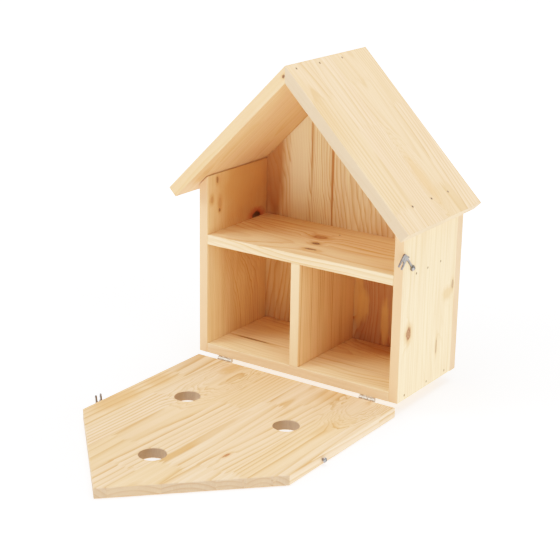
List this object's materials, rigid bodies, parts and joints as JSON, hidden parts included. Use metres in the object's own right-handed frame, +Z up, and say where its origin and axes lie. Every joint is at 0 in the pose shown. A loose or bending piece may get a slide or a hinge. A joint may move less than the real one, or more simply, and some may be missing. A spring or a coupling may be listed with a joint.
{
  "type": "birdhouse",
  "caption": "Gabled wooden birdhouse with lower nest compartments, a loft shelf, overhanging pitched roof and a drop-down front with round entrance holes, hinges and swing-hook latches.",
  "frame": {"origin": "under the middle of the whole object's box with the door lying open, on the surface that the door lies on", "axes": "+X to the house's right as seen from its front, +Y from the open door to the back of the house, +Z up; the house's middle plane is x = 0"},
  "size_m": [0.323, 0.4894, 0.3855],
  "materials": {
    "pine_pale": "planed, unfinished",
    "pine": "planed, unfinished",
    "zinc": "zinc plated",
    "screw_steel": "zinc plated",
    "nail_steel": "bright wire nails, slightly dulled"
  },
  "bodies": {
    "house": {"back_panel": "pine_pale", "left_wall": "pine", "right_wall": "pine_pale", "floor_board": "pine", "shelf": "pine", "divider": "pine", "roof_left": "pine", "roof_right": "pine_pale", "hinge_base_leaf_left": "zinc", "hinge_base_leaf_right": "zinc", "hinge_pin_left": "screw_steel", "hinge_pin_right": "screw_steel", "hinge_base_screws": "screw_steel", "latch_pivot_screw_right": "screw_steel", "latch_catch_screw_left": "screw_steel", "nails_ridge": "nail_steel", "nails_roof_left": "nail_steel", "nails_roof_right": "nail_steel", "nails_left_wall": "nail_steel", "nails_right_wall": "nail_steel", "nails_back": "nail_steel", "nails_divider": "nail_steel"},
    "door": {"front_door": "pine_pale", "hinge_door_leaf_left": "zinc", "hinge_door_leaf_right": "zinc", "hinge_door_screws": "screw_steel", "latch_pivot_screw_left": "screw_steel", "latch_catch_screw_right": "screw_steel"},
    "hook_right": {"latch_hook_right": "zinc"},
    "hook_left": {"latch_hook_left": "zinc"}
  },
  "joints": [
    {"name": "door_hinge", "type": "hinge", "parent": "house", "child": "door", "pos_m": [0, 0.10765, 0.0125], "axis": [1, 0, 0], "range_deg": [-90, 90]},
    {"name": "hook_right_pivot", "type": "hinge", "parent": "house", "child": "hook_right", "pos_m": [0.141, 0.12635, 0.1716], "axis": [1, 0, 0], "range_deg": [-43.6, 136.4]},
    {"name": "hook_left_pivot", "type": "hinge", "parent": "door", "child": "hook_left", "pos_m": [-0.141, -0.05145, 0.006], "axis": [1, 0, 0], "range_deg": [-90.3, 173.5]}
  ]
}
